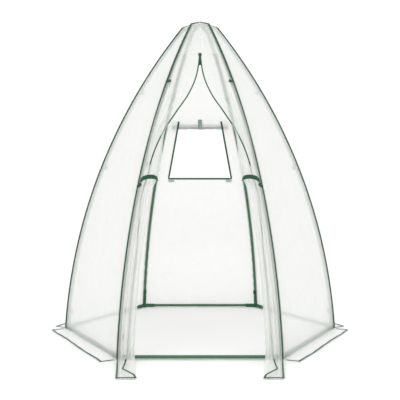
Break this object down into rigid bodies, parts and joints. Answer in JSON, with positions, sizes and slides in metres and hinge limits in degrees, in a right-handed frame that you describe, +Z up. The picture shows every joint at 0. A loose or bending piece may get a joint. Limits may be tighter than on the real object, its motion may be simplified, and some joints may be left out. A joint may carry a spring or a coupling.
{
  "type": "walk-in garden greenhouse",
  "caption": "Hexagonal dome greenhouse of curved green tubes with a clear film cover, tied-back zip doorway, roll-up rear window and ground skirts.",
  "frame": {"origin": "middle of the ground under the whole object's box", "axes": "+Z up, the doorway faces -Y, +X to the right seen from the front"},
  "size_m": [2.0002, 2.0562, 2.093],
  "materials": {
    "tube_green": "satin",
    "connector_green": "satin",
    "clear_film": "gloss",
    "green_binding": "matte",
    "strap_webbing": "matte",
    "zip_green": "satin"
  },
  "bodies": {
    "frame": {"corner_connector_1": "connector_green", "corner_connector_2": "connector_green", "corner_connector_3": "connector_green", "corner_connector_4": "connector_green", "corner_connector_5": "connector_green", "corner_connector_6": "connector_green", "base_rail_1": "tube_green", "base_rail_2": "tube_green", "base_rail_3": "tube_green", "base_rail_4": "tube_green", "base_rail_5": "tube_green", "base_rail_6": "tube_green", "rib_lower_1": "tube_green", "rib_lower_2": "tube_green", "rib_lower_3": "tube_green", "rib_lower_4": "tube_green", "rib_lower_5": "tube_green", "rib_lower_6": "tube_green", "rib_middle_1": "tube_green", "rib_middle_2": "tube_green", "rib_middle_3": "tube_green", "rib_middle_4": "tube_green", "rib_middle_5": "tube_green", "rib_middle_6": "tube_green", "rib_upper_1": "tube_green", "rib_upper_2": "tube_green", "rib_upper_3": "tube_green", "rib_upper_4": "tube_green", "rib_upper_5": "tube_green", "rib_upper_6": "tube_green", "hub_body": "connector_green", "hub_cap": "connector_green", "rib_ties": "strap_webbing", "wall_front_left": "clear_film", "wall_rear_left": "clear_film", "wall_rear": "clear_film", "wall_rear_right": "clear_film", "wall_front_right": "clear_film", "wall_front_top": "clear_film", "door_shoulder_left": "clear_film", "door_shoulder_right": "clear_film", "crown_cover": "clear_film", "seam_piping": "green_binding", "window_trim": "green_binding", "window_tabs": "green_binding", "zip_stop_patch": "zip_green", "zip_slider": "zip_green"},
    "door_left": {"door_roll_left": "clear_film"},
    "door_right": {"door_roll_right": "clear_film"},
    "strap_left": {"door_strap_left": "strap_webbing"},
    "strap_right": {"door_strap_right": "strap_webbing"},
    "zip_pull": {"zip_pull": "zip_green"},
    "window_roll": {"window_roll": "clear_film"},
    "window_tie": {"window_tie": "strap_webbing"},
    "skirt_front_left": {"skirt_front_left": "clear_film"},
    "skirt_rear_left": {"skirt_rear_left": "clear_film"},
    "skirt_rear": {"skirt_rear": "clear_film"},
    "skirt_rear_right": {"skirt_rear_right": "clear_film"},
    "skirt_front_right": {"skirt_front_right": "clear_film"}
  },
  "joints": [
    {"name": "door_left_draw", "type": "hinge", "parent": "frame", "child": "door_left", "pos_m": [0, -0.11834, 1.817], "axis": [-0.5167, -0.7949, 0.318], "range_deg": [0, 9]},
    {"name": "door_right_draw", "type": "hinge", "parent": "frame", "child": "door_right", "pos_m": [0, -0.11834, 1.817], "axis": [0.5167, -0.7949, 0.318], "range_deg": [-9, 0]},
    {"name": "strap_left_open", "type": "hinge", "parent": "door_left", "child": "strap_left", "pos_m": [-0.27981, -0.52902, 0.99], "axis": [0.1476, 0.3039, 0.9412], "range_deg": [0, 100]},
    {"name": "strap_right_open", "type": "hinge", "parent": "door_right", "child": "strap_right", "pos_m": [0.27981, -0.52902, 0.99], "axis": [-0.1476, 0.3039, 0.9412], "range_deg": [-100, 0]},
    {"name": "zip_pull_swing", "type": "hinge", "parent": "frame", "child": "zip_pull", "pos_m": [0, -0.13663, 1.80527], "axis": [-1, 0, 0], "range_deg": [0, 110]},
    {"name": "window_unroll", "type": "slide", "parent": "frame", "child": "window_roll", "axis": [0, 0.3649, -0.9311], "range_m": [0, 0.42]},
    {"name": "window_tie_open", "type": "hinge", "parent": "frame", "child": "window_tie", "pos_m": [0, 0.57181, 1.46459], "axis": [1, 0, 0], "range_deg": [0, 100]},
    {"name": "skirt_front_left_lift", "type": "hinge", "parent": "frame", "child": "skirt_front_left", "pos_m": [-0.69121, -0.26715, 0.0005], "axis": [-0.5, 0.866, 0], "range_deg": [0, 85]},
    {"name": "skirt_rear_left_lift", "type": "hinge", "parent": "frame", "child": "skirt_rear_left", "pos_m": [-0.69121, 0.531, 0.0005], "axis": [0.5, 0.866, 0], "range_deg": [0, 85]},
    {"name": "skirt_rear_lift", "type": "hinge", "parent": "frame", "child": "skirt_rear", "pos_m": [0, 0.93007, 0.0005], "axis": [1, 0, 0], "range_deg": [0, 85]},
    {"name": "skirt_rear_right_lift", "type": "hinge", "parent": "frame", "child": "skirt_rear_right", "pos_m": [0.69121, 0.531, 0.0005], "axis": [0.5, -0.866, 0], "range_deg": [0, 85]},
    {"name": "skirt_front_right_lift", "type": "hinge", "parent": "frame", "child": "skirt_front_right", "pos_m": [0.69121, -0.26715, 0.0005], "axis": [-0.5, -0.866, 0], "range_deg": [0, 85]}
  ]
}
